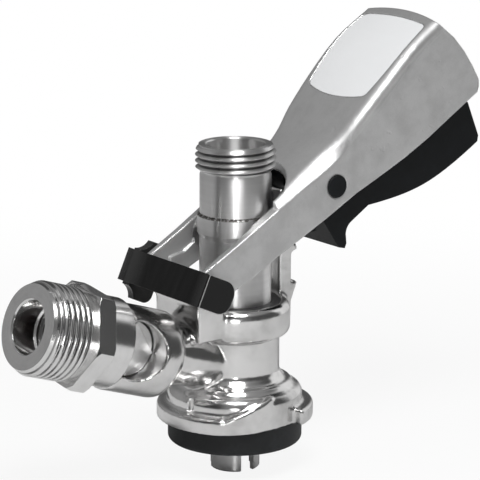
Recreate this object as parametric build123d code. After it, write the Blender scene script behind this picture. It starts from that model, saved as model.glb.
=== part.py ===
from build123d import *
from math import sin, cos, tan, radians, degrees, hypot, sqrt, atan2
import os

# Keg coupler. Millimetres, +Z up along the probe, grip towards +X, gas inlet towards -X.
# The origin is the middle of the base seal's underside, where the coupler sits on the keg neck.

# Clearances
seat_gap = 0.05            # radial gap of a piece seated in its bore
running_gap = 0.06         # radial gap of a shaft that turns or slides
side_gap = 0.4             # gap beside moving faces
loose_gap = 0.3            # gap of soft rings

# Base seal and keg seat
seal_radius = 19.33
seal_height = 7.05
seal_edge_round = 1.4
seal_bore_radius = 9.6
seal_lip_inner = 13.2
seal_lip_width = 2.6
seal_lip_height = 2.6

# Body: lugs, hub, column and collar
lug_radius = 22.55
lug_height = 4.5
lug_start_angle = 112.0    # first lug, from +X towards +Y
lug_end_angle = 224.0
base_radius = 19.4
hub_top_z = 14.4
hub_shoulder_radius = 15.9
hub_shoulder_z = 18.1
column_radius = 12.75
column_foot_z = 20.6
collar_radius = 15.8
collar_bottom_z = 31.4
collar_top_z = 41.3
collar_round = 2.6
chamber_radius = 11.35
chamber_top_z = 31.0
ramp_start_angle = 223.0
ramp_end_angle = 268.0
ramp_middle_radius = 21.1
ramp_inner_radius = 16.6
ramp_low_z = 11.4
ramp_high_z = 16.8
slot_angle = 192.0
slot_width = 1.7

# Probe
probe_radius = 10.3
probe_head_radius = 10.9
probe_head_bottom_z = 60.0
probe_joint_z = 66.5
probe_bore_radius = 6.0
probe_waist_z = 26.0
probe_waist_radius = 8.2
probe_end_z = 12.6
probe_pin_radius = 2.5
roller_radius = 3.2
roller_width = 1.5
tip_radius = 7.2
tip_bore_radius = 5.4
tip_end_z = -8.6
tip_leg_count = 3
tip_slot_width = 4.2
tip_slot_turn = 265.4
tip_slot_height = 9.5
probe_seal_radius = 8.9
probe_seal_height = 3.4
bush_wall = 2.6
bush_depth = 4.2
rod_seal_section = 1.3

# Beer outlet, G5/8 male
outlet_thread_radius = 22.911 / 2
outlet_top_z = 86.5
outlet_rim_radius = 10.5
outlet_lead_height = 1.7
outlet_thread_height = 5.6
outlet_relief_height = 0.9
outlet_relief_radius = 9.95
outlet_tube_radius = 10.2
outlet_bore_radius = 8.4
outlet_spigot_radius = 9.0
outlet_spigot_height = 5.6
outlet_seat_radius = 5.0
ball_radius = 5.6
ball_lift = 2.5
cage_wall = 0.9
cage_slot_count = 4

# Gas inlet, G3/4 male, tilted up from the body
inlet_tilt = 18.34
inlet_root_z = 21.15
inlet_face = 73.9          # along the inlet's axis, from the probe's axis
gas_thread_radius = 26.441 / 2
gas_rim_radius = 11.95
gas_lead_length = 2.5
gas_thread_length = 9.6
gas_relief_length = 2.1
gas_relief_radius = 12.1
gas_bore_radius = 7.45
gas_bore_depth = 9.4
gas_seat_radius = 6.0
gas_seat_length = 1.8
hex_across_flats = 27.0
hex_length = 5.6
hex_turn = 36.4
skirt_radius = 12.7
skirt_length = 8.0
skirt_bore_radius = 10.2
barrel_radius = 12.5
barrel_drop = 0.8          # barrel's axis below the nipple's
barrel_length = 20.0
barrel_round = 4.6
neck_radius = 8.3
gas_channel_radius = 3.0
spigot_length = 6.6
gasket_width = 1.4
gasket_height = 1.2
spacer_wall = 2.4
valve_flange_height = 1.8
valve_nose_radius = 4.9
valve_nose_length = 6.0
pocket_radius = 8.1
pocket_back = 3.6          # middle of the pocket, behind the skirt's end
pocket_floor_y = -3.9
plug_radius = 7.75
plug_disc_height = 1.0
plug_square = 10.8
plug_head_height = 1.0
plug_stem_radius = 3.4
plug_stem_length = 1.4

# Lever: hinge, arms, grip
hinge_x = -19.0
hinge_z = 48.65
lever_rise = 30.6          # line from the hinge to the probe's pins at rest, above level
lever_swing = 32.0
side_half_width = 14.5     # lever's outer faces at the probe
side_spread = 0.03         # their widening towards the grip
arm_inner_y = 12.1
pad_inner_y = 11.3
track_depth = 2.1
eye_radius = 4.3
hinge_pin_radius = 2.5
hinge_bush_wall = 1.3
grip_wall = 2.4
scoop_radius = 14.3
rear_bow = 2.3
rear_top_x = 62.0          # top of the grip's rear end, before its bow
rear_top_z = 117.8
rear_run = 14.6            # the rear end's lean
rear_fall = 18.9
trigger_room_x = 57.0      # room behind the trigger, under the grip
trigger_room_low_z = 75.0
trigger_room_length = 30.0
trigger_room_height = 26.0
roof_crown = 1.1
ridge_round = 3.2
grip_steps = 3             # sections from one station to the next
label_length = 28.4
label_width = 27.0
label_taper = 0.9          # front corners stand in from the rear ones
label_bow = 1.3
label_front_bow = 2.2
label_rear_bow = 1.0
label_thickness = 0.8
label_recess = 0.25
label_gap = 0.12
label_round = 2.2
label_middle_x = 47.2
label_middle_z = 107.15
label_slope = 40.0
# Side view of the arms at rest
arm_low_edge = ((-10.2, 48.4), (-2.2, 52.2), (5.8, 57.0), (13.0, 60.5), (21.0, 64.7), (32.0, 70.9))
arm_high_edge = ((35.8, 86.9), (22.0, 79.4), (8.0, 71.7), (-2.3, 65.5), (-10.5, 60.6))
pad_edge = ((-14.6, 53.4), (-9.7, 54.3), (-6.2, 56.5), (-5.9, 59.2), (-4.9, 62.4), (-2.6, 65.4))
pad_end = 9.5

# Trigger
trigger_x = 24.6
trigger_z = 73.6
trigger_half_width = 11.3
trigger_wall = 2.2
trigger_boss_radius = 5.0
trigger_pin_radius = 2.5
cap_radius = 3.25
cap_depth = 1.5
cap_stand = 0.35
nose_half_width = 3.4
nose_gap = 0.45
spring_wire_radius = 0.5
spring_turns = 4
spring_half_width = 3.2
spring_upper_leg = 9.0     # under the grip's roof
spring_upper_angle = 70.0
spring_lower_leg = 9.0     # in a groove of the trigger
spring_lower_angle = -10.0

# Latch post on the body
post_inner_x = 13.2
post_outer_x = 17.4
post_half_width = 3.9
post_top_z = 72.2
post_top_drop = 6.0
post_foot_z = 34.0
tooth_reach = 38.9         # tips, from the lever's hinge
tooth_z = (44.5, 53.4)
tooth_height = (5.8, 3.4)

# Hinge clip
clip_x = -27.0             # lower front edge of the bar
clip_z = 47.05
clip_lean = 24.7
clip_bar_thickness = 1.9
clip_bar_height = 9.6
clip_outer_y = 19.3
clip_cheek_length = 10.5
clip_cheek_thickness = 2.8
clip_cheek_gap = 0.45
clip_cheek_round = 3.9
clip_lip = 0.5
clip_tab_top = 13.4
clip_tab_bottom = -4.0

# Worked out from the values above
hex_back = inlet_face - gas_lead_length - gas_thread_length - gas_relief_length - hex_length
skirt_end = hex_back - skirt_length
barrel_end = skirt_end - barrel_length
spigot_end = skirt_end + spigot_length
pocket_s = skirt_end - pocket_back
valve_seat = inlet_face - gas_bore_depth - gas_seat_length
clip_inner_y = clip_outer_y - clip_cheek_thickness
probe_pin_z = hinge_z - hinge_x * tan(radians(lever_rise))
probe_stroke = -hinge_x * (tan(radians(lever_rise)) - tan(radians(lever_rise - lever_swing)))
lug_bottom_z = seal_height
outlet_seat_z = probe_joint_z - outlet_spigot_height
bush_outer_radius = probe_radius + bush_wall
bush_low_z = collar_top_z - bush_depth
rod_seal_outer = probe_radius + 2 * rod_seal_section
rod_seal_low_z = bush_low_z - 2 * rod_seal_section - 0.1
valve_bore_radius = skirt_bore_radius - gasket_width
coil_radius = trigger_pin_radius + loose_gap + spring_wire_radius


def at_inlet(distance):
    """Plane across the inlet's axis, facing away from the body."""
    tilt = radians(inlet_tilt)
    outward = Vector(-cos(tilt), 0, sin(tilt))
    middle = Vector(0, 0, inlet_root_z) + outward * distance
    return Plane(origin=middle, x_dir=(0, -1, 0), z_dir=outward)


def inlet_rod(radius, start, end):
    return at_inlet(start) * extrude(Circle(radius), end - start)


def rod_z(radius, low, high):
    return Pos(0, 0, low) * extrude(Circle(radius), high - low)


def polar(radius, angle):
    return (radius * cos(radians(angle)), radius * sin(radians(angle)))


def rod_y(radius, x, z, low, high):
    """Cylinder along Y from low to high."""
    plane = Plane(origin=(x, low, z), x_dir=(1, 0, 0), z_dir=(0, 1, 0))
    return plane * extrude(Circle(radius), high - low)


def plate_y(face_xz, low, high):
    """Extrudes a face drawn as X and Z from Y = low to Y = high."""
    plane = Plane(origin=(0, low, 0), x_dir=(1, 0, 0), z_dir=(0, -1, 0))
    return plane * extrude(face_xz, low - high)


def turned(points):
    """Turns an outline of radius and height round the probe's axis."""
    return revolve(Plane.XZ * make_face(Polyline(*points, close=True)), Axis.Z)


def inlet_turned(points):
    """Turns an outline of radius and distance round the inlet's axis."""
    profile = Plane.XZ * make_face(Polyline(*points, close=True))
    return at_inlet(0) * revolve(profile, Axis.Z)


def sector(radius, start, end, low, high):
    """Pie slice round Z between two angles."""
    middle = (start + end) / 2
    reach = radius * 2
    spread = [start, middle, end]
    corners = [(reach * cos(radians(a)), reach * sin(radians(a))) for a in spread]
    slice_face = make_face(Polyline((0, 0), *corners, close=True))
    return Pos(0, 0, low) * extrude(slice_face & Circle(radius), high - low)


def turned_about_hinge(x, z, angle):
    """Point turned about the lever's hinge, positive down at the grip."""
    turn = radians(angle)
    dx, dz = x - hinge_x, z - hinge_z
    return (hinge_x + dx * cos(turn) + dz * sin(turn), hinge_z - dx * sin(turn) + dz * cos(turn))


def clip_point(back, up):
    """Point in X and Z from the clip's lower front edge, backwards and upwards."""
    lean = radians(clip_lean)
    return (clip_x + back * cos(lean) + up * sin(lean), clip_z - back * sin(lean) + up * cos(lean))


# Body

def body_shell():
    profile = [
        (0, lug_bottom_z),
        (base_radius, lug_bottom_z),
        (base_radius, hub_top_z),
        (base_radius - 0.9, hub_top_z + 1.6),
        (hub_shoulder_radius + 0.8, hub_shoulder_z - 1.2),
        (hub_shoulder_radius, hub_shoulder_z),
        (hub_shoulder_radius - 1.6, hub_shoulder_z + 0.4),
        (column_radius + 0.6, column_foot_z - 0.6),
        (column_radius, column_foot_z),
        (column_radius, collar_bottom_z),
        (0, collar_bottom_z),
    ]
    collar = rod_z(collar_radius, collar_bottom_z, collar_top_z)
    collar = fillet(collar.edges().filter_by(GeomType.CIRCLE), collar_round)
    return turned(profile) + collar


def bayonet_lug():
    ring = rod_z(lug_radius, lug_bottom_z, lug_bottom_z + lug_height)
    lug = ring & sector(lug_radius, lug_start_angle, lug_end_angle, 0, hub_top_z)
    lug = chamfer(lug.edges().filter_by(GeomType.CIRCLE).sort_by(Axis.Z)[-1:], 0.6)
    corners = [polar(lug_radius - 0.2, ramp_start_angle), polar(base_radius - 0.2, ramp_end_angle)]
    middle = (ramp_start_angle + ramp_end_angle) / 2
    outer = ThreePointArc(corners[0], polar(ramp_middle_radius, middle), corners[1])
    inner = Polyline(corners[1], polar(ramp_inner_radius, ramp_end_angle),
                     polar(ramp_inner_radius, ramp_start_angle), corners[0])
    ramp = Pos(0, 0, lug_bottom_z) * extrude(make_face(outer + inner), ramp_high_z)
    reach = (ramp_middle_radius + ramp_inner_radius) / 2
    half_span = reach * sin(radians(ramp_end_angle - middle))
    slope = degrees(atan2(ramp_high_z - ramp_low_z, 2 * half_span))
    cutter = Pos(0, 0, (ramp_low_z + ramp_high_z) / 2) * Rot(0, -slope, 0) * Pos(0, 0, 10) * Box(60, 40, 20)
    spot = Rot(0, 0, middle) * Pos(reach, 0, 0) * Rot(0, 0, 90)
    ramp -= spot * cutter
    return lug + ramp


def hinge_lug():
    eye = Pos(hinge_x, hinge_z) * Circle(eye_radius)
    web = make_face(Polyline(
        (hinge_x - 3.6, hinge_z - 2.2),
        (hinge_x + eye_radius - 0.4, hinge_z + 1.2),
        (-collar_radius + 4.3, collar_top_z - 0.8),
        (-collar_radius + 4.3, collar_bottom_z + 2),
        (hinge_x - 1.4, collar_bottom_z + 2),
        (hinge_x - 1.4, hinge_z - 5.2),
        close=True))
    lug_half = arm_inner_y - side_gap
    web_half = pad_inner_y - 2 * side_gap
    return plate_y(eye, -lug_half, lug_half) + plate_y(web, -web_half, web_half)


def latch_post():
    outline = make_face(Polyline(
        (post_inner_x, post_foot_z),
        (post_inner_x, post_top_z),
        (post_inner_x + 1.0, post_top_z),
        (post_outer_x, post_top_z - post_top_drop),
        (post_outer_x, post_foot_z),
        close=True))
    for low, height in zip(tooth_z, tooth_height):
        drop = low - hinge_z
        tip = hinge_x + sqrt(tooth_reach ** 2 - max(drop ** 2, (drop + 1.2) ** 2))
        if low < hinge_z:
            tooth = Polyline((post_outer_x - 1, low), (tip, low), (tip - 0.3, low - 1.1),
                             (post_outer_x, low - height), (post_outer_x - 1, low - height), close=True)
        else:
            tooth = Polyline((post_outer_x - 1, low - 0.4), (post_outer_x, low - 0.4), (tip, low + 0.4),
                             (tip - 0.2, low + 1.8), (post_outer_x, low + height),
                             (post_outer_x - 1, low + height), close=True)
        outline += make_face(tooth)
    return plate_y(outline, -post_half_width, post_half_width)


def inlet_barrel():
    neck = inlet_rod(neck_radius, 6, barrel_end + 4)
    drop = at_inlet(0).x_dir.cross(at_inlet(0).z_dir) * barrel_drop
    barrel = Pos(-abs(drop.X), 0, -abs(drop.Z)) * inlet_rod(barrel_radius, barrel_end, skirt_end)
    inner_edge = barrel.edges().filter_by(GeomType.CIRCLE).sort_by(Axis.X)[-1:]
    barrel = fillet(inner_edge, barrel_round)
    spigot = inlet_rod(skirt_bore_radius - seat_gap, skirt_end - 1, spigot_end)
    return neck + barrel + spigot


def pocket_place():
    """Plane on the inlet barrel's near side, facing -Y, with its X along the inlet's axis."""
    middle = at_inlet(pocket_s).origin
    outward = at_inlet(pocket_s).z_dir
    return Plane(origin=(middle.X, pocket_floor_y, middle.Z), x_dir=outward, z_dir=(0, -1, 0))


def body_casting():
    body = body_shell()
    lug = bayonet_lug()
    body += lug + Rot(0, 0, 180) * lug
    body += hinge_lug() + latch_post()
    inlet = inlet_barrel()
    pocket = pocket_place() * extrude(Circle(pocket_radius), barrel_radius)
    inlet -= pocket
    body += inlet
    for turn in (0, 180):
        groove = Pos(base_radius + 1, 0, lug_bottom_z + lug_height + 3) * Box(5, slot_width, 6)
        body -= Rot(0, 0, slot_angle + turn) * groove
    body -= rod_z(chamber_radius, lug_bottom_z - 1, chamber_top_z)
    body -= rod_z(probe_radius + 2 * running_gap, chamber_top_z - 1, collar_top_z + 1)
    body -= rod_z(bush_outer_radius + seat_gap, bush_low_z, collar_top_z + 1)
    body -= rod_z(rod_seal_outer, rod_seal_low_z, bush_low_z + 1)
    body -= seal_lip(seat_gap, 0.1)
    body -= inlet_rod(gas_channel_radius, 9, spigot_end + 1)
    body -= pocket_place() * extrude(Circle(plug_stem_radius + seat_gap), -plug_stem_length - 2)
    body -= rod_y(hinge_pin_radius + 0.02, hinge_x, hinge_z, -arm_inner_y, arm_inner_y)
    return body



def seal_lip(extra, rise):
    outer = seal_lip_inner + seal_lip_width + extra
    ring = rod_z(outer, lug_bottom_z, lug_bottom_z + seal_lip_height + rise)
    return ring - rod_z(seal_lip_inner - extra, lug_bottom_z, lug_bottom_z + seal_lip_height + rise)


def base_seal():
    ring = rod_z(seal_radius, 0, seal_height)
    ring = fillet(ring.edges().filter_by(GeomType.CIRCLE).sort_by(Axis.Z)[:1], seal_edge_round)
    ring -= rod_z(seal_bore_radius, -1, seal_height + 1)
    return ring + seal_lip(0, 0)


def guide_bush():
    bush = rod_z(bush_outer_radius, bush_low_z + 0.1, collar_top_z - 0.2)
    return bush - rod_z(probe_radius + running_gap, 0, collar_top_z + 1)


def o_ring(middle_radius, section, z):
    ring = Pos(middle_radius, 0, z) * (Plane.XZ * Circle(section))
    return revolve(ring, Axis.Z)


def rod_seal():
    return o_ring(probe_radius + rod_seal_section + loose_gap / 2, rod_seal_section - loose_gap / 2,
                  rod_seal_low_z + rod_seal_section)


# Gas inlet

def gas_nipple():
    thread_end = hex_back + hex_length + gas_relief_length
    outline = [
        (0, skirt_end),
        (skirt_radius - 0.5, skirt_end),
        (skirt_radius, skirt_end + 0.5),
        (skirt_radius, hex_back + hex_length),
        (gas_relief_radius, hex_back + hex_length),
        (gas_relief_radius, thread_end - 0.8),
        (gas_thread_radius, thread_end),
        (gas_thread_radius, thread_end + gas_thread_length),
        (gas_rim_radius, inlet_face),
        (0, inlet_face),
    ]
    nipple = inlet_turned(outline)
    hexagon = at_inlet(hex_back) * extrude(Rot(0, 0, 90 - hex_turn) * RegularPolygon(
        hex_across_flats / 2, 6, major_radius=False), hex_length)
    corner = hex_across_flats / sqrt(3)
    cone = inlet_turned([
        (0, hex_back - 1),
        (corner - 1.0, hex_back - 1),
        (corner - 0.9, hex_back),
        (corner + 0.1, hex_back + 0.7),
        (corner + 0.1, hex_back + hex_length - 0.7),
        (corner - 0.9, hex_back + hex_length),
        (0, hex_back + hex_length),
    ])
    nipple += hexagon & cone
    bore = inlet_turned([
        (0, skirt_end - 1),
        (skirt_bore_radius, skirt_end - 1),
        (skirt_bore_radius, spigot_end + gasket_height),
        (valve_bore_radius, spigot_end + gasket_height),
        (valve_bore_radius, valve_seat),
        (gas_seat_radius, valve_seat),
        (gas_seat_radius, valve_seat + gas_seat_length),
        (gas_bore_radius - 0.5, valve_seat + gas_seat_length + 0.4),
        (gas_bore_radius - 0.5, valve_seat + gas_seat_length + 1.4),
        (gas_bore_radius, valve_seat + gas_seat_length + 1.9),
        (gas_bore_radius, inlet_face - 0.4),
        (gas_bore_radius + 0.4, inlet_face),
        (gas_bore_radius + 0.4, inlet_face + 1),
        (0, inlet_face + 1),
    ])
    return nipple - bore



def nipple_gasket():
    outer = skirt_bore_radius - seat_gap
    ring = inlet_rod(outer, spigot_end, spigot_end + gasket_height)
    return ring - inlet_rod(valve_bore_radius + seat_gap, spigot_end - 1, spigot_end + gasket_height + 1)


def valve_spacer():
    outer = valve_bore_radius - seat_gap
    sleeve = inlet_rod(outer, spigot_end, valve_seat - valve_flange_height)
    return sleeve - inlet_rod(outer - spacer_wall, spigot_end - 1, valve_seat)


def gas_check_valve():
    low = valve_seat - valve_flange_height
    flange = inlet_rod(valve_bore_radius - seat_gap, low, valve_seat)
    nose = inlet_rod(valve_nose_radius, low - valve_nose_length, low)
    tilt_cut = []
    for side in (1, -1):
        wedge = Pos(0, side * 6.2, low - valve_nose_length) * Rot(side * -32, 0, 0) * Box(20, 6, 16)
        tilt_cut.append(wedge)
    duckbill = nose - [at_inlet(0) * wedge for wedge in tilt_cut]
    throat = inlet_rod(valve_nose_radius - 1.2, low - 1.6, valve_seat + 1)
    return (flange + duckbill) - throat


def port_plug():
    place = pocket_place()
    disc = extrude(Circle(plug_radius), plug_disc_height)
    head = Pos(0, 0, plug_disc_height) * extrude(
        Circle(plug_radius - 0.15) & (Rot(0, 0, 45) * Rectangle(plug_square, plug_square)), plug_head_height)
    stem = extrude(Circle(plug_stem_radius), -plug_stem_length)
    return place * (disc + head + stem)


def port_plug_seal():
    place = pocket_place()
    ring = Pos(0, 0, -plug_stem_length) * extrude(Circle(plug_stem_radius), -0.5)
    return place * (ring - Pos(0, 0, -plug_stem_length) * extrude(Circle(plug_stem_radius - 1.2), -1))


# Probe

def probe_body():
    socket_z = probe_joint_z - outlet_spigot_height - 0.3
    sleeve = turned([
        (probe_bore_radius, probe_end_z),
        (probe_waist_radius, probe_end_z),
        (probe_waist_radius, probe_waist_z - 2),
        (probe_radius - 0.2, probe_waist_z),
        (probe_radius, probe_waist_z + 0.4),
        (probe_radius, probe_head_bottom_z),
        (probe_head_radius, probe_head_bottom_z + 1.4),
        (probe_head_radius, probe_joint_z - 0.3),
        (probe_head_radius - 0.3, probe_joint_z),
        (outlet_spigot_radius + seat_gap, probe_joint_z),
        (outlet_spigot_radius + seat_gap, socket_z),
        (probe_bore_radius, socket_z),
    ])
    return sleeve - rod_y(probe_pin_radius + 0.02, 0, probe_pin_z, -20, 20) + pin_floor()


def pin_floor():
    """Wall left between the blind pin holes and the socket of the outlet."""
    wall = rod_z(probe_radius - 0.6, probe_pin_z - 4, probe_pin_z + 4)
    return wall - rod_z(outlet_spigot_radius + seat_gap, probe_pin_z - 5, probe_pin_z + 5)


def probe_pins():
    inner = probe_radius - 0.55
    outer = pad_inner_y + track_depth - 0.2
    return [rod_y(probe_pin_radius, 0, probe_pin_z, *sorted((side * inner, side * outer))) for side in (1, -1)]


def slide_rollers():
    rollers = []
    for side in (1, -1):
        low, high = sorted((side * (pad_inner_y + loose_gap), side * (pad_inner_y + loose_gap + roller_width)))
        ring = rod_y(roller_radius, 0, probe_pin_z, low, high)
        rollers.append(ring - rod_y(probe_pin_radius + running_gap, 0, probe_pin_z, low - 1, high + 1))
    return rollers


def beer_outlet():
    thread_top = outlet_top_z - outlet_lead_height
    thread_low = thread_top - outlet_thread_height
    relief_low = thread_low - outlet_relief_height
    spigot_bore = ball_radius + 0.6 + cage_wall
    return turned([
        (outlet_seat_radius, outlet_seat_z),
        (outlet_spigot_radius, outlet_seat_z),
        (outlet_spigot_radius, probe_joint_z),
        (outlet_tube_radius - 0.2, probe_joint_z),
        (outlet_tube_radius, probe_joint_z + 0.2),
        (outlet_tube_radius, relief_low - 0.5),
        (outlet_relief_radius, relief_low),
        (outlet_relief_radius, thread_low - 0.3),
        (outlet_thread_radius, thread_low + 0.8),
        (outlet_thread_radius, thread_top),
        (outlet_rim_radius, outlet_top_z),
        (outlet_bore_radius + 0.3, outlet_top_z),
        (outlet_bore_radius, outlet_top_z - 0.3),
        (outlet_bore_radius, probe_joint_z + 9.5),
        (spigot_bore, probe_joint_z + 9.0),
        (spigot_bore, outlet_seat_z + 2.0),
        (outlet_seat_radius, outlet_seat_z + 1.0),
    ])


def ball_rest_z():
    """Height of the ball's middle when it sits on the edge of the outlet's seat."""
    return outlet_seat_z + 1.0 + sqrt(ball_radius ** 2 - outlet_seat_radius ** 2) + 0.15


def check_ball():
    return Pos(0, 0, ball_rest_z()) * Sphere(ball_radius)


def ball_cage():
    outer = ball_radius + 0.6 + cage_wall - seat_gap
    low = outlet_seat_z + 2.6
    top = ball_rest_z() + ball_radius + ball_lift + 0.3
    cage = rod_z(outer, low, top + 1.2) - rod_z(outer - cage_wall, low - 1, top)
    cage -= rod_z(3.2, top - 1, top + 3)
    for index in range(cage_slot_count):
        window = Pos(outer, 0, (low + top) / 2 + 1.2) * Box(6, 4.2, top - low - 3.4)
        cage -= Rot(0, 0, 360 / cage_slot_count * index) * window
    return cage


def probe_tip():
    shoulder_z = probe_end_z - probe_seal_height
    collar_inner = probe_bore_radius - seat_gap
    tip = turned([
        (tip_bore_radius, tip_end_z),
        (tip_radius - 0.5, tip_end_z),
        (tip_radius, tip_end_z + 0.5),
        (tip_radius, shoulder_z - 1.4),
        (probe_waist_radius, shoulder_z - 0.4),
        (probe_waist_radius, shoulder_z),
        (collar_inner, shoulder_z),
        (collar_inner, probe_end_z + 5),
        (collar_inner - 1.2, probe_end_z + 5),
        (tip_bore_radius - 0.6, shoulder_z - 2),
    ])
    for index in range(tip_leg_count):
        window = Pos(tip_radius, 0, tip_end_z + tip_slot_height / 2 - 1) * Box(
            2 * tip_radius, tip_slot_width, tip_slot_height + 2)
        tip -= Rot(0, 0, tip_slot_turn + 360 / tip_leg_count * index) * window
    return tip


def probe_seal():
    low = probe_end_z - probe_seal_height
    ring = rod_z(probe_seal_radius, low, probe_end_z)
    ring = fillet(ring.edges().filter_by(GeomType.CIRCLE), 0.8)
    return ring - rod_z(probe_bore_radius, low - 1, probe_end_z + 1)


# Lever

def side_half(x):
    """Half width of the lever's outer faces at x."""
    return side_half_width + side_spread * x


def side_wedge(inset):
    """Block between the lever's outer faces, which spread towards the grip."""
    ends = [(x, side * (side_half(x) - inset)) for x, side in ((-40, 1), (110, 1), (110, -1), (-40, -1))]
    return extrude(make_face(Polyline(*ends, close=True)), 150)


def arm_outline():
    front = clip_point(clip_bar_thickness + side_gap, clip_bar_height)
    return make_face(Polyline(
        (hinge_x, hinge_z),
        turned_about_hinge(hinge_x - eye_radius, hinge_z, clip_lean),
        front,
        *reversed(arm_high_edge),
        *reversed(arm_low_edge),
        turned_about_hinge(hinge_x, hinge_z - eye_radius, -20),
        close=True)) + Pos(hinge_x, hinge_z) * Circle(eye_radius)


def pad_outline():
    """Raised inner pad of an arm, round the probe's track."""
    right = make_face(Polyline(*pad_edge, (pad_end, 90), (pad_end, 40), (-14.6, 40), close=True))
    return right & arm_outline()


def track_outline():
    """Track for the rollers: where the probe's pin lies in the lever, at rest, halfway and down."""
    path = []
    for share in (-0.04, 0.5, 1.04):
        path.append(turned_about_hinge(0, probe_pin_z - probe_stroke * share, -lever_swing * share))
    return SlotArc(ThreePointArc(*path), 2 * (roller_radius + loose_gap))


grip_stations = (
    # x, lower edge z, crease z, ridge half width, ridge z
    (4.0, 55.9, 69.3, 12.8, 71.3),
    (13.0, 60.5, 74.5, 11.9, 77.5),
    (21.0, 64.7, 78.9, 11.7, 82.6),
    (26.0, 67.5, 82.2, 13.6, 86.6),
    (31.0, 70.4, 86.6, 16.7, 92.0),
    (39.0, 74.1, 94.0, 18.4, 100.3),
    (49.0, 78.9, 104.0, 19.4, 109.8),
    (58.0, 84.0, 111.6, 18.4, 116.0),
    (66.0, 89.2, 116.6, 17.4, 120.7),
    (84.0, 100.6, 126.5, 15.5, 130.7),
)


def grip_section(x, low, crease, ridge_half, ridge, inset, drop):
    half = side_half(x) - inset
    ridge_half -= inset
    top = ridge - inset
    side = crease - inset * 0.6
    outline = Polyline((half, low - drop), (half, side), (ridge_half, top))
    crown_arc = ThreePointArc((ridge_half, top), (0, top + roof_crown), (-ridge_half, top))
    other = Polyline((-ridge_half, top), (-half, side), (-half, low - drop), (half, low - drop))
    plane = Plane(origin=(x, 0, 0), x_dir=(0, 1, 0), z_dir=(1, 0, 0))
    face = make_face(outline + crown_arc + other)
    ridges = [corner for corner in face.vertices() if abs(corner.Y - top) < 0.01]
    return plane * fillet(ridges, max(ridge_round - inset, 0.5))


def station_slope(index, column):
    """Slope of a column of the stations, along x."""
    before, after = grip_stations[max(index - 1, 0)], grip_stations[min(index + 1, len(grip_stations) - 1)]
    return (after[column] - before[column]) / (after[0] - before[0])


def station_between(index, share):
    """Station on a smooth curve between two of the grip's; its lower edge stays on straight lines."""
    first, last = grip_stations[index], grip_stations[index + 1]
    step = last[0] - first[0]
    station = [first[0] + share * step, first[1] + share * (last[1] - first[1])]
    for column in (2, 3, 4):
        rise = last[column] - first[column]
        start = station_slope(index, column) * step - rise
        end = rise - station_slope(index + 1, column) * step
        bend = share * (1 - share) * ((1 - share) * start + share * end)
        station.append(first[column] + share * rise + bend)
    return station


def grip_block(inset, drop):
    """Loft of the grip through its stations, each set in by a wall."""
    sections = [
        grip_section(*station_between(index, share / grip_steps), inset, drop)
        for index in range(len(grip_stations) - 1) for share in range(grip_steps)]
    return loft(sections + [grip_section(*grip_stations[-1], inset, drop)], ruled=True)


def rear_barrel(inset):
    """Barrel whose side is the bowed rear end of the grip."""
    along = Vector(rear_run, 0, -rear_fall).normalized()
    outward = Vector(-along.Z, 0, along.X)
    top = Vector(rear_top_x, 0, rear_top_z)
    reach = 60
    shift = rear_bow - inset
    profile = [(-30, shift - 14), (-6, shift - 4.3), (0, shift - 1.5), (7, shift + 0.3), (13, shift + 0.8),
               (18.5, shift + 0.6), (23.4, shift), (25.2, shift - 1.2), (28.2, shift - 5.4), (60, shift - 50)]
    points = [(distance, reach + rise) for distance, rise in profile]
    face = make_face(Polyline(points[0], *points[1:], (60, 0), (-30, 0), close=True))
    axis_start = top - outward * reach
    plane = Plane(origin=axis_start, x_dir=along, z_dir=(0, -1, 0))
    return plane * revolve(face, Axis.X)


def lever_handle():
    shell = grip_block(0, 0) & rear_barrel(0)
    shell -= grip_block(grip_wall, 3) & rear_barrel(grip_wall)
    arms = plate_y(arm_outline(), arm_inner_y, 25) + plate_y(arm_outline(), -25, -arm_inner_y)
    arms = arms & side_wedge(0)
    handle = shell + arms
    handle -= rod_z(scoop_radius, 0, 140) & Box(80, 2 * arm_inner_y, 300)
    handle -= Pos(2, 0, 60) * Box(6, 2 * arm_inner_y, 60)
    pads = plate_y(pad_outline(), pad_inner_y, arm_inner_y + 0.5)
    pads += plate_y(pad_outline(), -arm_inner_y - 0.5, -pad_inner_y)
    handle += pads
    room = Pos(trigger_room_x, 0, trigger_room_low_z) * Box(
        trigger_room_length, 2 * (trigger_half_width + 0.6), trigger_room_height,
        align=(Align.MIN, Align.CENTER, Align.MIN))
    handle -= room
    for side in (1, -1):
        low, high = sorted((side * (pad_inner_y - 0.1), side * (pad_inner_y + track_depth)))
        handle -= plate_y(track_outline(), low, high)
    handle -= rod_y(hinge_pin_radius + running_gap + hinge_bush_wall + 0.02, hinge_x, hinge_z, -30, 30)
    handle -= rod_y(trigger_pin_radius + 0.03, trigger_x, trigger_z, -30, 30)
    for side in (1, -1):
        low, high = sorted((side * (side_half(trigger_x) - cap_depth), side * 25))
        handle -= rod_y(cap_radius + 0.05, trigger_x, trigger_z, low, high)
    pocket = label_prism(label_gap) - grip_block(label_recess + label_thickness, 0)
    return handle - pocket


def label_place():
    slope = radians(label_slope)
    return Plane(origin=(label_middle_x, 0, label_middle_z), x_dir=(cos(slope), 0, sin(slope)),
                 z_dir=(-sin(slope), 0, cos(slope)))


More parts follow.
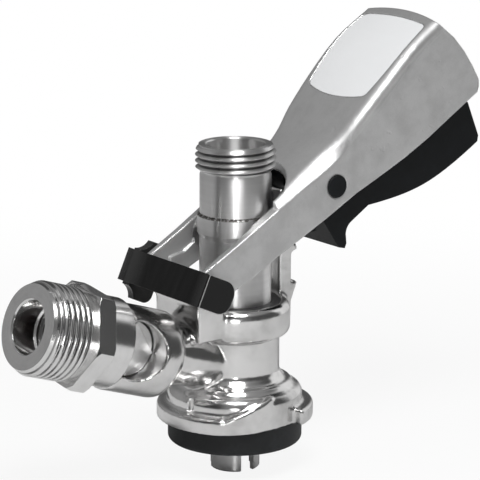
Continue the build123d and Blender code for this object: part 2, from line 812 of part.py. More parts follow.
def label_prism(extra):
    """Label's outline with bowed edges, run through the grip's roof."""
    half_length = label_length / 2 + extra
    half_width = label_width / 2 + extra
    front_width = half_width - label_taper
    corners = [(-half_length, -front_width), (half_length, -half_width),
               (half_length, half_width), (-half_length, front_width)]
    face = make_face(
        ThreePointArc(corners[0], (0, label_taper / 2 - half_width - label_bow), corners[1])
        + ThreePointArc(corners[1], (half_length + label_rear_bow, 0), corners[2])
        + ThreePointArc(corners[2], (0, half_width + label_bow - label_taper / 2), corners[3])
        + ThreePointArc(corners[3], (-half_length - label_front_bow, 0), corners[0]))
    face = fillet(face.vertices(), label_round)
    return label_place() * (Pos(0, 0, -8) * extrude(face, 16))


def label_plate():
    skin = grip_block(label_recess, 0) - grip_block(label_recess + label_thickness, 0)
    return skin & label_prism(0)


def hinge_bushes():
    bushes = []
    inner = hinge_pin_radius + running_gap
    for side in (1, -1):
        low, high = sorted((side * arm_inner_y, side * (side_half(hinge_x - eye_radius) - 0.1)))
        ring = rod_y(inner + hinge_bush_wall, hinge_x, hinge_z, low, high)
        bushes.append(ring - rod_y(inner, hinge_x, hinge_z, low - 1, high + 1))
    return bushes


def hinge_pin():
    half = clip_outer_y - 1.0
    return rod_y(hinge_pin_radius, hinge_x, hinge_z, -half, half)


def trigger_pin():
    half = side_half(trigger_x) - cap_depth
    return rod_y(trigger_pin_radius, trigger_x, trigger_z, -half, half)


def pin_caps():
    caps = []
    for side in (1, -1):
        outer = side_half(trigger_x)
        low, high = sorted((side * (outer - cap_depth), side * (outer + cap_stand)))
        caps.append(rod_y(cap_radius, trigger_x, trigger_z, low, high))
    return caps


# Hinge clip

def hinge_clip():
    bar_outline = make_face(Polyline(
        clip_point(0, 0), clip_point(0, clip_bar_height), clip_point(clip_bar_thickness, clip_bar_height),
        clip_point(clip_bar_thickness, 0), close=True))
    clip = plate_y(bar_outline, -clip_outer_y, clip_outer_y)
    cheek = RectangleRounded(clip_cheek_length + 4, clip_bar_height, clip_cheek_round)
    middle = clip_point((clip_cheek_length - 4) / 2, clip_bar_height / 2)
    cheek = Pos(*middle) * Rot(0, 0, -clip_lean) * cheek
    front_side = make_face(Polyline(
        clip_point(0, -20), clip_point(0, 30), clip_point(40, 30), clip_point(40, -20), close=True))
    clip += plate_y(cheek & front_side, -clip_outer_y, -clip_inner_y)
    tab_half = (clip_tab_top - clip_tab_bottom) / 2
    tab_middle = clip_point(6.4, (clip_tab_top + clip_tab_bottom) / 2)
    tab = Pos(*tab_middle) * Rot(0, 0, -clip_lean) * RectangleRounded(9.6, 2 * tab_half, 2.6)
    for up in (clip_tab_top + 1.2, clip_tab_bottom - 1.2):
        scallop = clip_point(0.8, up)
        tab -= Pos(*scallop) * Circle(4.6)
    clip += plate_y(tab + (cheek & front_side), clip_inner_y, clip_outer_y)
    boss_inner = side_half(hinge_x + eye_radius) + clip_cheek_gap
    clip += rod_y(eye_radius - 0.4, hinge_x, hinge_z, boss_inner, clip_inner_y)
    clip += rod_y(eye_radius - 0.4, hinge_x, hinge_z, -clip_inner_y, -boss_inner)
    lip = make_face(Polyline(
        clip_point(-clip_lip, 0), clip_point(-clip_lip, clip_bar_height),
        clip_point(0.4, clip_bar_height), clip_point(0.4, 0), close=True))
    lip_block = plate_y(lip, clip_outer_y - 3.6, clip_outer_y)
    hollow = clip_point(-clip_lip - 1.1, clip_bar_height / 2)
    spread = Plane(origin=(hollow[0], clip_outer_y - 3.6, hollow[1]), x_dir=(0, 1, 0),
                   z_dir=(sin(radians(clip_lean)), 0, cos(radians(clip_lean))))
    lip_block -= spread * extrude(Circle(2.4), 20, both=True)
    clip += lip_block
    return clip - rod_y(hinge_pin_radius + 0.02, hinge_x, hinge_z, -clip_outer_y + 0.95, clip_outer_y - 0.95)


# Trigger

def trigger_lever():
    outline = make_face(
        Polyline((22.6, 69.2), (22.8, 63.2), (28.9, 54.3), (31.0, 53.8), (31.6, 55.2), (31.3, 58.0))
        + Spline((31.3, 58.0), (31.9, 60.0), (33.6, 61.6))
        + Polyline((33.6, 61.6), (39.6, 65.4))
        + Spline((39.6, 65.4), (46.0, 66.0), (60.7, 68.9), (72.0, 73.8), (81.4, 79.2))
        + Polyline((81.4, 79.2), (81.7, 81.0), (77.2, 91.5), (75.0, 91.0), (60.0, 84.4), (44.0, 77.2),
                   (30.0, 77.6), (22.6, 76.4), (22.6, 69.2)))
    lever = plate_y(outline, -trigger_half_width, trigger_half_width)
    inner = make_face(Polyline(
        (33.5, 79), (34.5, 68), (40, 67.8), (58, 71), (70, 75.6), (78.6, 80.6), (75.2, 88.4), (75, 100),
        (33.5, 100), close=True))
    lever -= plate_y(inner, -trigger_half_width + trigger_wall, trigger_half_width - trigger_wall)
    hub_half = arm_inner_y - side_gap
    lever += rod_y(trigger_boss_radius, trigger_x, trigger_z, -hub_half, hub_half)
    lever -= rod_y(trigger_boss_radius + 1.4, trigger_x, trigger_z, -spring_half_width - 0.8,
                   spring_half_width + 0.8)
    lever -= rod_y(trigger_pin_radius + running_gap, trigger_x, trigger_z, -20, 20)
    lever -= spring_leg(spring_lower_angle, -1, spring_lower_leg + 1, spring_wire_radius - spring_half_width,
                        spring_wire_radius + loose_gap)
    reach = tooth_reach + nose_gap
    nose = make_face(Polyline((25.5, 63.5), (18.0, 61.6), (18.0, 58.0), (27.0, 58.0), close=True))
    nose -= Pos(hinge_x, hinge_z) * Circle(reach)
    return lever + plate_y(nose, -nose_half_width, nose_half_width)


def spring_leg_start(angle, side):
    """Point on the coil where a straight leg at this angle leaves it, and the leg's direction."""
    along = (cos(radians(angle)), sin(radians(angle)))
    return (-side * coil_radius * along[1], side * coil_radius * along[0]), along


def spring_leg(angle, side, length, y, thickness):
    """Round leg from the coil outwards, in the plane of y."""
    (x, z), (dx, dz) = spring_leg_start(angle, side)
    plane = Plane(origin=(trigger_x + x, y, trigger_z + z), z_dir=(dx, 0, dz))
    return plane * Pos(0, 0, -0.3) * extrude(Circle(thickness), length + 0.3)


def trigger_spring():
    turns = spring_turns + (spring_lower_angle - spring_upper_angle + 180) / 360
    pitch = 2 * (spring_half_width - spring_wire_radius) / turns
    helix = Helix(pitch, pitch * turns, coil_radius)
    profile = Plane(origin=helix @ 0, z_dir=helix % 0) * Circle(spring_wire_radius)
    coil = sweep(profile, path=helix, is_frenet=True)
    start = radians(spring_upper_angle + 90)
    place = Plane(origin=(trigger_x, pitch * turns / 2, trigger_z), x_dir=(cos(start), 0, sin(start)),
                  z_dir=(0, -1, 0))
    end = spring_half_width - spring_wire_radius
    upper = spring_leg(spring_upper_angle, 1, spring_upper_leg, end, spring_wire_radius)
    lower = spring_leg(spring_lower_angle, -1, spring_lower_leg, -end, spring_wire_radius)
    return place * coil + upper + lower



def write(name, shape):
    """Writes one node, as one solid or as a group of separate solids."""
    pieces = shape if isinstance(shape, list) else [shape]
    solids = [solid for piece in pieces for solid in piece.solids()]
    whole = solids[0] if len(solids) == 1 else Compound(children=solids)
    whole.label = name
    export_step(whole, f"parts/{name}.step")
    print(f"{name}: {len(solids)} solid(s), {sum(s.volume for s in solids):.1f} mm3")


makers = [
    body_casting, base_seal, guide_bush, rod_seal, gas_nipple, nipple_gasket, gas_check_valve, valve_spacer,
    port_plug, port_plug_seal, hinge_clip, hinge_pin, beer_outlet, probe_body, probe_pins, slide_rollers,
    probe_tip, probe_seal, check_ball, ball_cage, lever_handle, label_plate, hinge_bushes, trigger_pin,
    pin_caps, trigger_lever, trigger_spring,
]
os.makedirs("parts", exist_ok=True)
for maker in makers:
    write(maker.__name__, maker())
print(f"hinge at x {hinge_x}, z {hinge_z}; swing {lever_swing} deg; probe stroke {probe_stroke:.3f} mm")
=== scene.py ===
from math import cos, pi, radians, sin, tau
import bpy
from mathutils import Matrix, Vector


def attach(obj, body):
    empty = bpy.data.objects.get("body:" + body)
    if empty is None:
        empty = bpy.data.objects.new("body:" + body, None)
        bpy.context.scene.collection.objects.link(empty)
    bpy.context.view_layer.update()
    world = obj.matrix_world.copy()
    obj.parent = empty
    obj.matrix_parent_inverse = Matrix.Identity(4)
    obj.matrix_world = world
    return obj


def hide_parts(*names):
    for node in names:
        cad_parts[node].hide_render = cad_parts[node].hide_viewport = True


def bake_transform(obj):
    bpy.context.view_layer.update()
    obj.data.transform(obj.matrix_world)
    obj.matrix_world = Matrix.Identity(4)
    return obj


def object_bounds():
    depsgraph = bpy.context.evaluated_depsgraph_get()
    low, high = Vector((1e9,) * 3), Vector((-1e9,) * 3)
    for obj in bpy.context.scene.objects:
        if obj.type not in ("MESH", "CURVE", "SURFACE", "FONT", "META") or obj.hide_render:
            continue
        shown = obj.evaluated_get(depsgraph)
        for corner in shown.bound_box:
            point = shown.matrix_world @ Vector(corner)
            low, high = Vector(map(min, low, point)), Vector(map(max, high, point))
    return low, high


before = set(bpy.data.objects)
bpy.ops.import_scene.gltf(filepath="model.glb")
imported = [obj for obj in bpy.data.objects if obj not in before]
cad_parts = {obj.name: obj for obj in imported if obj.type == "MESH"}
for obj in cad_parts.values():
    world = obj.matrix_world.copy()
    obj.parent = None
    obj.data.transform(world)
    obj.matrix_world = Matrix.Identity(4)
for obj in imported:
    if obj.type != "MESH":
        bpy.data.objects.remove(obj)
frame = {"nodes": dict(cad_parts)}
cadLow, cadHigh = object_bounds()
nodes = frame["nodes"]
mm = 0.001
inletTilt = radians(18.34)
inletOut = Vector((-cos(inletTilt), 0, sin(inletTilt)))
inletRoot = Vector((0, 0, 21.15)) * mm
print("frame loaded:", len(nodes), "parts")

# Pipe threads, with the start of the groove and the top of the part along the part's axis
threads = {
    "outlet": {"node": "beer_outlet", "radius": 11.4555 * mm, "pitch": 1.814 * mm, "depth": 1.162 * mm,
               "start": 78.2 * mm, "turns": 5, "top": 86.5 * mm, "axis": Matrix.Identity(4)},
    "gas": {"node": "gas_nipple", "radius": 13.2205 * mm, "pitch": 1.814 * mm, "depth": 1.162 * mm,
            "start": 60.2 * mm, "turns": 8, "top": 73.9 * mm,
            "axis": Matrix.Translation(inletRoot) @ Matrix.Rotation(inletTilt - radians(90), 4, "Y")},
}


# Shader helpers: a socket that takes the usual operators, so that shader maths reads as maths
class Value:
    def __init__(self, nodes, socket):
        self.nodes, self.socket = nodes, socket

    def maths(self, operation, *others):
        return self.nodes.add("ShaderNodeMath", {"operation": operation}, [self, *others])

    def __add__(self, other):
        return self.maths("ADD", other)

    def __sub__(self, other):
        return self.maths("SUBTRACT", other)

    def __rsub__(self, other):
        return self.nodes.add("ShaderNodeMath", {"operation": "SUBTRACT"}, [other, self])

    def __mul__(self, other):
        return self.maths("MULTIPLY", other)

    def __truediv__(self, other):
        return self.maths("DIVIDE", other)

    def __pow__(self, other):
        return self.maths("POWER", other)

    def between(self, low, high):
        return self.nodes.add("ShaderNodeMapRange", {"interpolation_type": "SMOOTHSTEP"},
                              [self, low, high, 0.0, 1.0])

    __radd__ = __add__
    __rmul__ = __mul__


class NodeBench:
    def __init__(self, tree):
        self.tree = tree

    def add(self, kind, settings, values, output=0):
        node = self.tree.nodes.new(kind)
        for key, value in settings.items():
            if key == "stops":
                ramp = node.color_ramp.elements
                while len(ramp) < len(value):
                    ramp.new(0.5)
                for element, (place, level) in zip(ramp, value):
                    element.position, element.color = place, grey(level)
            else:
                setattr(node, key, value)
        pairs = values.items() if isinstance(values, dict) else enumerate(values)
        for key, value in pairs:
            if isinstance(value, Value):
                self.tree.links.new(value.socket, node.inputs[key])
            elif value is not None:
                node.inputs[key].default_value = value
        return Value(self, node.outputs[output])

    def place(self, centre=(0, 0, 0), turn=(0, 0, 0), scale=(1, 1, 1)):
        source = self.add("ShaderNodeTexCoord", {}, [], "Object")
        shifted = self.add("ShaderNodeMapping", {}, {"Vector": source, "Location": [-c for c in centre]})
        return self.add("ShaderNodeMapping", {}, {"Vector": shifted, "Rotation": turn, "Scale": scale})

    def axes(self, vector):
        split = self.add("ShaderNodeSeparateXYZ", {}, [vector]).socket.node
        return [Value(self, split.outputs[index]) for index in range(3)]

    def noise(self, place, scale, detail=2.0, rough=0.5):
        return self.add("ShaderNodeTexNoise", {}, {"Vector": place, "Scale": scale, "Detail": detail,
                                                   "Roughness": rough})

    def blendColour(self, factor, first, second):
        return self.add("ShaderNodeMix", {"data_type": "RGBA"}, {0: factor, 6: first, 7: second}, 2)

    def bump(self, height, distance, strength=1.0, normal=None):
        return self.add("ShaderNodeBump", {}, {"Strength": strength, "Distance": distance,
                                               "Height": height, "Normal": normal})

    def softEdges(self, radius):
        return self.add("ShaderNodeBevel", {"samples": 6}, {"Radius": radius})

    # 0 on flat faces, 1 on sharp outer and inner edges
    def edgeMask(self, rounded, low=0.004, high=0.09):
        flat = self.add("ShaderNodeNewGeometry", {}, [], "Normal")
        facing = self.add("ShaderNodeVectorMath", {"operation": "DOT_PRODUCT"}, [rounded, flat], "Value")
        return (1 - facing).between(low, high)


class Finish(NodeBench):
    def __init__(self, name, **fixed):
        self.material = bpy.data.materials.new(name)
        self.material.use_nodes = True
        super().__init__(self.material.node_tree)
        self.shader = self.tree.nodes["Principled BSDF"]
        for socket, value in fixed.items():
            self.shader.inputs[socket.replace("_", " ")].default_value = value

    def give(self, **sockets):
        for socket, value in sockets.items():
            self.tree.links.new(value.socket, self.shader.inputs[socket.replace("_", " ")])
        return self

    # 1 near the level, falling to 0 at half a width from it
    def band(self, value, level, half, soft=1.0):
        return (1 - (value - level).maths("ABSOLUTE") / half).between(0.0, soft)

    def aroundAxis(self, place):
        x, y, z = self.axes(place)
        return x, z, (x * x + y * y) ** 0.5

    # 1 in the roots of a thread, where the light doesn't reach, and 0 in the bore: the mask of the painted
    # shade in the roots
    def rootShadeMask(self, place, thread):
        soft, crest, inner = 0.1 * mm, 0.35 * mm, 0.4 * mm
        root = thread["radius"] - thread["depth"]
        x, z, radius = self.aroundAxis(place)
        deep = 1 - radius.between(root, thread["radius"] - crest)
        above = z.between(thread["start"] + 1.0 * mm, thread["start"] + 1.2 * mm)
        below = 1 - z.between(thread["top"] - 1.1 * mm, thread["top"] - 0.9 * mm)
        return deep * above * below * radius.between(root - inner, root - inner + soft)

    # Rings round the Z axis of a turned place, as a lathe tool leaves them
    def latheMarks(self, place, fine, around=25):
        x, z, radius = self.aroundAxis(place)
        line = self.add("ShaderNodeCombineXYZ", {}, [radius * fine, z * fine, x * around])
        return self.noise(line, 1.0, 3.0)


def grey(level, warm=0.0):
    return (level + warm, level, level - warm, 1.0)


def castChrome():
    look = {"bright": grey(0.76, 0.004), "dull": grey(0.50, 0.004), "rough": 0.13, "spread": 0.16,
            "wave": 110, "waveDepth": 0.5 * mm, "pit": 1700, "pitDepth": 0.02 * mm, "edge": 0.8 * mm}
    finish = Finish("castChrome", Metallic=1.0)
    place = finish.place()
    wave = finish.noise(place, look["wave"], 2.0)
    pits = finish.noise(place, look["pit"], 3.0, 0.6)
    cloud = finish.noise(place, 60, 4.0, 0.6).between(0.4, 0.75)
    normal = finish.bump(wave, look["waveDepth"], 0.6, finish.softEdges(look["edge"]))
    normal = finish.bump(pits, look["pitDepth"], 0.5, normal)
    return finish.give(Base_Color=finish.blendColour(cloud, look["bright"], look["dull"]),
                       Roughness=cloud * look["spread"] + look["rough"], Normal=normal)


def turnedSteel(name, centre, turn, edge=0.25 * mm, rough=0.12, thread=None):
    look = {"bright": grey(0.82, 0.003), "dull": grey(0.62, 0.003), "root": grey(0.05), "tool": 5200,
            "toolDepth": 0.003 * mm, "band": 900}
    finish = Finish(name, Metallic=1.0)
    place = finish.place(centre, turn)
    rings = finish.latheMarks(place, look["tool"])
    bands = finish.latheMarks(place, look["band"])
    stain = finish.noise(place, 120, 4.0, 0.6).between(0.4, 0.75)
    normal = finish.bump(rings, look["toolDepth"], 0.7, finish.softEdges(edge))
    shade = finish.blendColour(stain * 0.5 + bands * 0.4, look["bright"], look["dull"])
    if thread:
        # Painted shade: the thread roots are darkened in the base colour
        shade = finish.blendColour(finish.rootShadeMask(place, thread) * 0.85, shade, look["root"])
    return finish.give(Base_Color=shade, Roughness=bands * 0.08 + (stain * 0.08 + rough), Normal=normal)


# Lathe rings spread the highlights along the tube; a rough seam and some spatter mark its joint
def probeSteel():
    look = {"bright": grey(0.86, 0.003), "dull": grey(0.64, 0.003), "grime": grey(0.16, 0.01),
            "root": grey(0.05), "rough": 0.32, "tool": 5200, "toolDepth": 0.01 * mm, "band": 900,
            "edge": 0.25 * mm, "seam": 66.5 * mm, "seamHalf": 0.5 * mm, "spatter": 60.3 * mm,
            "spatterHalf": 1.6 * mm, "grimeDepth": 0.12 * mm}
    finish = Finish("probeSteel", Metallic=1.0, Anisotropic=0.94, Anisotropic_Rotation=0.25)
    place = finish.place()
    height = finish.axes(place)[2]
    rings = finish.latheMarks(place, look["tool"])
    bands = finish.latheMarks(place, look["band"])
    speck = finish.noise(place, 900, 4.0, 0.7)
    seam = finish.band(height, look["seam"], look["seamHalf"], 0.6)
    spatter = finish.band(height, look["spatter"], look["spatterHalf"])
    patch = finish.noise(place, 70, 2.0).between(0.5, 0.6)
    grime = seam * speck.between(0.45, 0.6) + spatter * patch * speck.between(0.55, 0.62)
    shade = finish.blendColour(bands * 0.5, look["bright"], look["dull"])
    shade = finish.blendColour(seam * speck.between(0.4, 0.5), shade, look["grime"])
    # Painted shade: the roots of the outlet thread are darkened in the base colour
    shade = finish.blendColour(finish.rootShadeMask(place, threads["outlet"]) * 0.85, shade, look["root"])
    normal = finish.bump(rings, look["toolDepth"], 0.8, finish.softEdges(look["edge"]))
    normal = finish.bump(grime, look["grimeDepth"], 0.9, normal)
    return finish.give(Base_Color=shade, Roughness=bands * 0.1 + (grime * 0.2 + look["rough"]),
                       Normal=normal)


def satinCasting():
    look = {"bright": grey(0.70), "dull": grey(0.55), "worn": grey(0.86), "grain": 2600, "coarse": 900,
            "grainDepth": 0.05 * mm, "patch": 120, "pit": 420, "edge": 0.9 * mm}
    finish = Finish("satinCasting", Metallic=0.82)
    place = finish.place()
    grain = finish.noise(place, look["grain"], 3.0, 0.65)
    coarse = finish.noise(place, look["coarse"], 2.0)
    patch = finish.noise(place, look["patch"], 4.0, 0.6).between(0.35, 0.7)
    pits = (1 - finish.noise(place, look["pit"], 1.0)).between(0.70, 0.76)
    rounded = finish.softEdges(look["edge"])
    worn = finish.edgeMask(rounded)
    normal = finish.bump(grain * 0.7 + coarse * 0.3 - pits, look["grainDepth"], 0.9, rounded)
    shade = finish.blendColour(patch * 0.6 + grain * 0.4, look["bright"], look["dull"])
    shade = finish.blendColour(worn * 0.7, shade, look["worn"])
    rough = patch * 0.08 + 0.36 + grain * 0.12 - worn * 0.16
    return finish.give(Base_Color=shade, Roughness=rough, Normal=normal)


def blackPlastic(name, level, rough, grain, edge, depth=0.03 * mm, gloss=0.3):
    finish = Finish(name, Specular_IOR_Level=gloss)
    place = finish.place()
    skin = finish.noise(place, grain, 3.0, 0.6)
    rub = finish.noise(place, 180, 4.0, 0.6).between(0.45, 0.8)
    rounded = finish.softEdges(edge)
    worn = finish.edgeMask(rounded)
    normal = finish.bump(skin, depth, 0.8, rounded)
    shade = finish.blendColour(rub, grey(level, -0.001), grey(level * 1.8, -0.002))
    shade = finish.blendColour(worn * 0.4, shade, grey(level * 4))
    return finish.give(Base_Color=shade, Roughness=skin * 0.12 + (rub * 0.1 + rough), Normal=normal)


# Polished black, with a painted sheen towards both ends of the bar and a painted highlight line along its
# edges at the near cheek
def clipGloss():
    look = {"black": grey(0.002), "line": grey(0.62), "sheen": grey(0.03), "rough": 0.12,
            "draw": 45, "drawDepth": 0.6 * mm, "skin": 900, "skinDepth": 0.006 * mm, "edge": 0.45 * mm,
            "cheek": (-18.95 * mm, -18.75 * mm), "farSheen": (8 * mm, 16 * mm),
            "nearSheen": (13.5 * mm, 18 * mm), "sheenEnd": (18.2 * mm, 18.8 * mm)}
    finish = Finish("clipGloss", Specular_IOR_Level=0.3)
    place = finish.place()
    side = finish.axes(place)[1]
    draw = finish.noise(finish.place(scale=(1, 5, 1)), look["draw"], 2.0)
    skin = finish.noise(place, look["skin"], 3.0, 0.6)
    rounded = finish.softEdges(look["edge"])
    # Painted highlight: a light line along the edges of the near cheek
    line = finish.edgeMask(rounded, 0.02, 0.12) * (1 - side.between(*look["cheek"]))
    # Painted sheen: the black is lightened towards both ends of the bar, as a highlight would light it
    near = side * -1
    nearSheen = near.between(*look["nearSheen"]) - near.between(*look["sheenEnd"])
    sheen = side.between(*look["farSheen"]) + nearSheen * 0.6
    normal = finish.bump(draw, look["drawDepth"], 0.6, rounded)
    normal = finish.bump(skin, look["skinDepth"], 0.8, normal)
    shade = finish.blendColour(sheen, look["black"], look["sheen"])
    shade = finish.blendColour(line, shade, look["line"])
    return finish.give(Base_Color=shade, Roughness=skin * 0.08 + look["rough"], Normal=normal)


def whitePlate():
    look = {"dull": (0.88, 0.89, 0.90, 1), "bright": (0.92, 0.93, 0.94, 1), "rough": 0.35, "coat": 0.15,
            "peel": 700, "peelDepth": 0.01 * mm, "edge": 0.3 * mm}
    finish = Finish("whitePlate", Coat_Roughness=0.15)
    place = finish.place()
    cloud = finish.noise(place, 90, 3.0)
    normal = finish.bump(finish.noise(place, look["peel"], 2.0), look["peelDepth"], 0.6,
                         finish.softEdges(look["edge"]))
    return finish.give(Base_Color=finish.blendColour(cloud, look["dull"], look["bright"]),
                       Roughness=cloud * 0.1 + look["rough"], Coat_Weight=cloud * 0.15 + look["coat"],
                       Normal=normal)


def plainMoulding(name, light, dark, rough):
    grain, grainDepth = 1500, 0.02 * mm
    finish = Finish(name)
    place = finish.place()
    shade = finish.blendColour(finish.noise(place, 200, 3.0), light, dark)
    return finish.give(Base_Color=shade, Roughness=finish.noise(place, 300, 2.0) * 0.15 + rough,
                       Normal=finish.bump(finish.noise(place, grain, 2.0), grainDepth, 0.6))


chrome = castChrome()
probeFinish = probeSteel()
inletFinish = turnedSteel("inletSteel", tuple(inletRoot), (0, radians(90) - inletTilt, 0), 0.12 * mm, 0.12,
                          threads["gas"])
pinFinish = turnedSteel("pinSteel", (0, 0, 0), (radians(90), 0, 0))
plugFinish = turnedSteel("plugSteel", (0, 0, 0), (0, 0, 0), 0.3 * mm, 0.3)
satin = satinCasting()
satinBlack = blackPlastic("satinBlack", 0.006, 0.36, 2400, 0.6 * mm, gloss=0.2)
glossBlack = clipGloss()
rubber = blackPlastic("sealRubber", 0.014, 0.5, 1400, 0.5 * mm, 0.05 * mm)
whiteFace = whitePlate()
# Both are darker than these parts' own colours: painted shade, so that the pieces inside the bores read as
# dark
acetal = plainMoulding("acetal", (0.035, 0.035, 0.036, 1), (0.025, 0.025, 0.026, 1), 0.35)
silicone = plainMoulding("silicone", (0.045, 0.03, 0.028, 1), (0.03, 0.022, 0.02, 1), 0.3)
springFinish = turnedSteel("springSteel", (0, 0, 0), (radians(90), 0, 0), 0.1 * mm, 0.3)

coats = {
    chrome: ["body_casting"],
    plugFinish: ["port_plug"],
    probeFinish: ["beer_outlet", "probe_body", "probe_tip"],
    pinFinish: ["hinge_pin", "probe_pins", "trigger_pin"],
    inletFinish: ["gas_nipple"],
    satin: ["lever_handle"],
    satinBlack: ["trigger_lever", "pin_caps"],
    glossBlack: ["hinge_clip"],
    rubber: ["base_seal", "rod_seal", "nipple_gasket", "port_plug_seal", "probe_seal"],
    whiteFace: ["label_plate"],
    acetal: ["guide_bush", "valve_spacer", "slide_rollers", "check_ball", "ball_cage", "hinge_bushes"],
    silicone: ["gas_check_valve"],
    springFinish: ["trigger_spring"],
}


def coat(piece, finish):
    piece.data.materials.clear()
    piece.data.materials.append(finish.material)


for finish, names in coats.items():
    for name in names:
        coat(nodes[name], finish)
print("finishes on", sum(len(names) for names in coats.values()), "parts")


# Modelling helpers, which work on one selected object at a time
def clearSelection():
    if bpy.context.object and bpy.context.object.mode != "OBJECT":
        bpy.ops.object.mode_set(mode="OBJECT")
    bpy.ops.object.select_all(action="DESELECT")


def takeUp(piece):
    clearSelection()
    piece.select_set(True)
    bpy.context.view_layer.objects.active = piece


def copyOfNode(name, newName):
    clearSelection()
    source = nodes[name]
    piece = source.copy()
    piece.data = source.data.copy()
    for key in [key for key in piece.keys() if key.startswith("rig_")]:
        del piece[key]
    piece.parent = None
    piece.name = piece.data.name = newName
    bpy.context.scene.collection.objects.link(piece)
    takeUp(piece)
    bpy.ops.object.mode_set(mode="EDIT")
    bpy.ops.mesh.select_all(action="SELECT")
    bpy.ops.mesh.remove_doubles(threshold=0.001 * mm)
    bpy.ops.object.mode_set(mode="OBJECT")
    bpy.ops.mesh.customdata_custom_splitnormals_clear()
    return piece


def applyModifier(piece, kind, **settings):
    takeUp(piece)
    modifier = piece.modifiers.new(kind.lower(), kind)
    for key, value in settings.items():
        setattr(modifier, key, value)
    bpy.ops.object.modifier_apply(modifier=modifier.name)


def settle(piece, finish, slot, body, *replaced):
    takeUp(piece)
    bpy.ops.object.transform_apply(location=True, rotation=True, scale=True)
    coat(piece, finish)
    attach(piece, body)
    if replaced:
        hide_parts(*replaced)
    return piece


# A V groove is run round a copy of the turned part and cut out of it
def threadCutter(thread):
    clearSelection()
    bpy.ops.mesh.primitive_circle_add(vertices=5, radius=thread["pitch"], fill_type="NGON")
    cutter = bpy.context.active_object
    cutter.name = "threadCutter"
    over, crest, rootHalf, cap = 0.6 * mm, 0.22 * mm, 0.12 * mm, 0.5 * mm
    root, rim, half = thread["radius"] - thread["depth"], thread["radius"] + over, thread["pitch"] / 2
    flank = half + over * half / thread["depth"] - crest
    groove = [(root, -rootHalf), (root, rootHalf), (rim, flank), (rim + cap, 0), (rim, -flank)]
    for vertex, (radius, height) in zip(cutter.data.vertices, groove):
        vertex.co = (radius, 0, height)
    steps = 72 * thread["turns"]
    applyModifier(cutter, "SCREW", axis="Z", angle=tau * thread["turns"], steps=steps,
                  render_steps=steps, screw_offset=thread["pitch"] * thread["turns"])
    bpy.ops.object.mode_set(mode="EDIT")
    bpy.ops.mesh.select_all(action="SELECT")
    bpy.ops.mesh.normals_make_consistent(inside=False)
    bpy.ops.object.mode_set(mode="OBJECT")
    cutter.matrix_world = thread["axis"] @ Matrix.Translation((0, 0, thread["start"]))
    bpy.context.view_layer.update()
    return cutter


def cutThread(thread, name, finish, slot, body):
    piece = copyOfNode(thread["node"], name)
    cutter = threadCutter(thread)
    applyModifier(piece, "BOOLEAN", operation="DIFFERENCE", object=cutter, solver="EXACT")
    bpy.data.objects.remove(cutter)
    takeUp(piece)
    bpy.ops.object.shade_smooth_by_angle(angle=radians(28))
    print(name, "has", len(piece.data.polygons), "faces")
    return settle(piece, finish, slot, body, thread["node"])


cutThread(threads["outlet"], "threadedOutlet", probeFinish, "stainless", "probe")
cutThread(threads["gas"], "threadedNipple", inletFinish, "stainless", "body")
print("threads cut")


def twistSpring():
    piece = copyOfNode("trigger_spring", "twistedSpring")
    bpy.ops.object.shade_smooth_by_angle(angle=radians(40))
    coat(piece, springFinish)
    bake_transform(piece)
    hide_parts("trigger_spring")


twistSpring()

# The casting: every edge takes the small radius that a cast and polished part has
casting = {"voxel": 0.42 * mm, "rounds": 7, "pull": 0.5}


def roundCasting():
    piece = copyOfNode("body_casting", "roundedCasting")
    applyModifier(piece, "REMESH", mode="VOXEL", voxel_size=casting["voxel"], use_smooth_shade=True)
    applyModifier(piece, "SMOOTH", factor=casting["pull"], iterations=casting["rounds"])
    print("casting has", len(piece.data.polygons), "faces")
    return settle(piece, chrome, "plated_cast", "body", "body_casting")


roundCasting()


# Studio
studio = {"turn": 52.865, "rise": 13.701, "distance": 753.72, "lens": 198.876, "aimHeight": 58.4706,
          "aimRight": 1.3249, "roll": 0.2308, "floorRadius": 0.34}
cameraTurn = radians(studio["turn"])
toCamera = Vector((-cos(cameraTurn), -sin(cameraTurn), 0))
toRight = Vector((sin(cameraTurn), -cos(cameraTurn), 0))
middle = (cadLow + cadHigh) / 2


def aimCamera():
    rise, roll = radians(studio["rise"]), radians(studio["roll"])
    back = toCamera * cos(rise) + Vector((0, 0, sin(rise)))
    up = back.cross(toRight)
    aim = Vector((0, 0, studio["aimHeight"])) + toRight * studio["aimRight"]
    side, top = toRight * cos(roll) + up * sin(roll), up * cos(roll) - toRight * sin(roll)
    data = bpy.data.cameras.new("camera")
    data.lens, data.sensor_width = studio["lens"], 36
    data.clip_start, data.clip_end = 0.05, 20
    camera = bpy.data.objects.new("camera", data)
    bpy.context.scene.collection.objects.link(camera)
    placing = Matrix((side, top, back)).transposed().to_4x4()
    placing.translation = (aim + back * studio["distance"]) * mm
    camera.matrix_world = placing
    bpy.context.scene.camera = camera


# A lamp at an angle round the object from the camera, positive to the right
def areaLamp(name, around, rise, distance, size, radiance):
    data = bpy.data.lights.new(name, "AREA")
    data.shape, data.size, data.size_y = "RECTANGLE", size[0], size[1]
    data.energy = radiance * pi * size[0] * size[1]
    lamp = bpy.data.objects.new(name, data)
    bpy.context.scene.collection.objects.link(lamp)
    level = toCamera * cos(radians(around)) + toRight * sin(radians(around))
    outward = level * cos(radians(rise)) + Vector((0, 0, sin(radians(rise))))
    lamp.location = middle + outward * distance
    lamp.rotation_mode = "QUATERNION"
    lamp.rotation_quaternion = outward.to_track_quat("Z", "Y")
    lamp.visible_camera = False


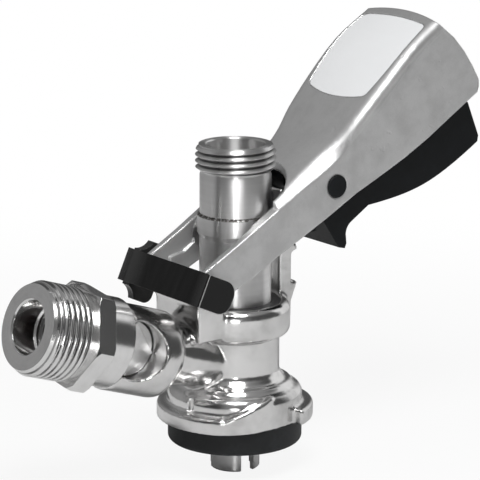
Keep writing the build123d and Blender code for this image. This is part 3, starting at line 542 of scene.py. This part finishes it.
def layFloor(level):
    clearSelection()
    bpy.ops.mesh.primitive_circle_add(vertices=96, radius=studio["floorRadius"], fill_type="NGON",
                                      location=(0, 0, level))
    floor = bpy.context.active_object
    floor.name = "studioFloor"
    finish = Finish("paleFloor", Roughness=0.9, Specular_IOR_Level=0.0)
    place = finish.place()
    finish.give(Base_Color=finish.blendColour(finish.noise(place, 3.0), grey(0.80), grey(0.84)))
    x, y, z = finish.axes(place)
    fade = ((x * x + y * y) ** 0.5).between(0.12, studio["floorRadius"])
    path = finish.tree.nodes.new("ShaderNodeLightPath")
    seen = Value(finish, path.outputs["Is Camera Ray"])
    glow = finish.tree.nodes.new("ShaderNodeEmission")
    mixer = finish.tree.nodes.new("ShaderNodeMixShader")
    finish.tree.links.new((seen * (fade * 0.1 + 0.9)).socket, mixer.inputs[0])
    finish.tree.links.new(finish.shader.outputs[0], mixer.inputs[1])
    finish.tree.links.new(glow.outputs[0], mixer.inputs[2])
    finish.tree.links.new(mixer.outputs[0], finish.tree.nodes["Material Output"].inputs["Surface"])
    coat(floor, finish)


# Soft grey cards all round; the steps run from the back, over the left, front and right, to the back
def lightWorld():
    cards = {"low": ((0.0, 0.2), (0.05, 0.7), (0.09, 0.7), (0.13, 0.27), (0.30, 0.27), (0.32, 0.08),
                     (0.355, 0.08), (0.38, 0.42), (0.48, 0.5), (0.52, 0.95), (0.60, 0.85), (0.72, 0.78),
                     (0.77, 0.42), (0.80, 0.05), (0.93, 0.05), (1.0, 0.2)),
             "high": ((0.0, 0.1), (0.10, 0.24), (0.17, 0.3), (0.28, 0.3), (0.34, 0.05), (0.42, 0.05),
                      (0.46, 0.2), (0.55, 0.2), (0.60, 0.08), (0.78, 0.08), (0.81, 0.85), (0.92, 0.85),
                      (0.96, 0.1), (1.0, 0.1)),
             "overhead": 0.26}
    world = bpy.data.worlds.new("studio")
    bpy.context.scene.world = world
    world.use_nodes = True
    bench = NodeBench(world.node_tree)
    direction = bench.add("ShaderNodeTexCoord", {}, [], "Generated")
    turned = bench.add("ShaderNodeMapping", {}, {"Vector": direction, "Rotation": (0, 0, pi - cameraTurn)})
    x, y, z = bench.axes(turned)
    around = y.maths("ARCTAN2", x) / tau + 0.5
    lowCard = bench.add("ShaderNodeValToRGB", {"stops": cards["low"]}, [around])
    highCard = bench.add("ShaderNodeValToRGB", {"stops": cards["high"]}, [around])
    shade = bench.blendColour(z.between(-0.18, -0.1), lowCard, highCard)
    shade = bench.blendColour(z.between(0.55, 0.8), shade, grey(cards["overhead"]))
    plain = bench.tree.nodes["Background"]
    bench.tree.links.new(shade.socket, plain.inputs["Color"])
    white = bench.tree.nodes.new("ShaderNodeBackground")
    white.inputs["Color"].default_value = grey(1.0)
    path = bench.tree.nodes.new("ShaderNodeLightPath")
    mixer = bench.tree.nodes.new("ShaderNodeMixShader")
    bench.tree.links.new(path.outputs["Is Camera Ray"], mixer.inputs[0])
    bench.tree.links.new(plain.outputs[0], mixer.inputs[1])
    bench.tree.links.new(white.outputs[0], mixer.inputs[2])
    bench.tree.links.new(mixer.outputs[0], bench.tree.nodes["World Output"].inputs["Surface"])


aimCamera()
layFloor(cadLow.z)
lightWorld()
areaLamp("keyLamp", 6, 59, 0.75, (0.32, 0.32), 13)
areaLamp("stripLamp", 1, -14, 0.62, (0.12, 0.44), 6)
bpy.context.scene.view_settings.view_transform = "Standard"
print("studio set")
